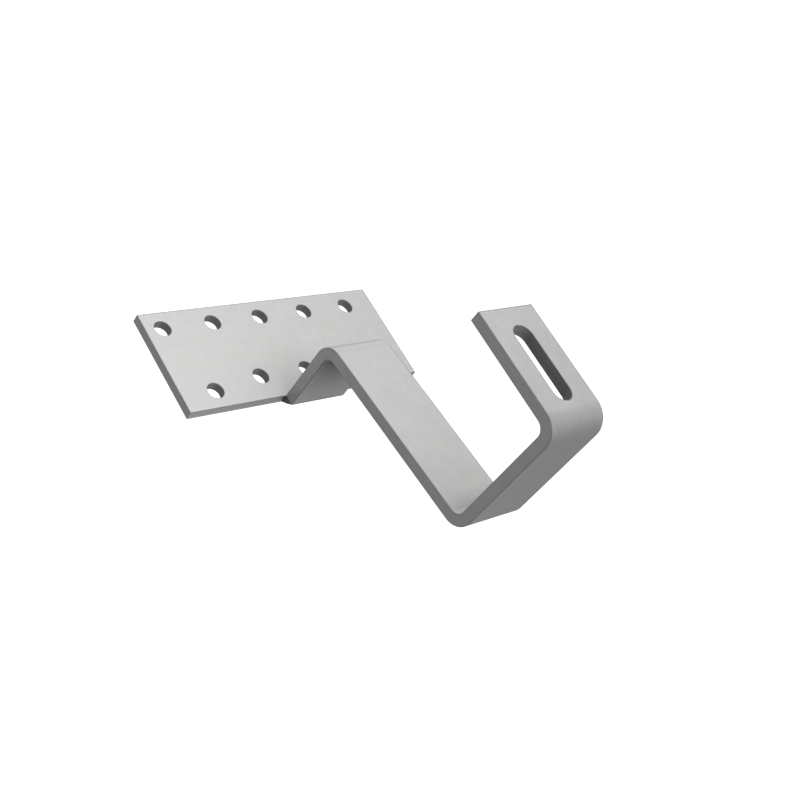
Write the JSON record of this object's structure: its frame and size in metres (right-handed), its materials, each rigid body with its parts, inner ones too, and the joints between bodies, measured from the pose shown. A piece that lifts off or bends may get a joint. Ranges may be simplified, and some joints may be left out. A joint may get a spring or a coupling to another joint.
{
  "type": "solar roof hook",
  "caption": "Flat drilled base plate with a bent flat-bar arm welded to its front edge; the arm's upper leg has an oblong slot for a rail bolt.",
  "frame": {"origin": "centre of the base plate's underside, the face that lies on the rafter", "axes": "+Z away from the roof, normal to the base plate; +Y up the slope of the roof, so the arm reaches down the slope towards -Y; +X along the plate's long side"},
  "size_m": [0.15, 0.176, 0.135],
  "materials": {
    "plate_steel": "pickled satin grey, rolled sheet",
    "bar_steel": "pickled satin grey, rolled flat bar",
    "weld_metal": "dark dull weld bead with fine ripples"
  },
  "bodies": {
    "root": {"base_plate": "plate_steel", "hook_arm": "bar_steel", "corner_weld": "weld_metal"}
  },
  "joints": []
}
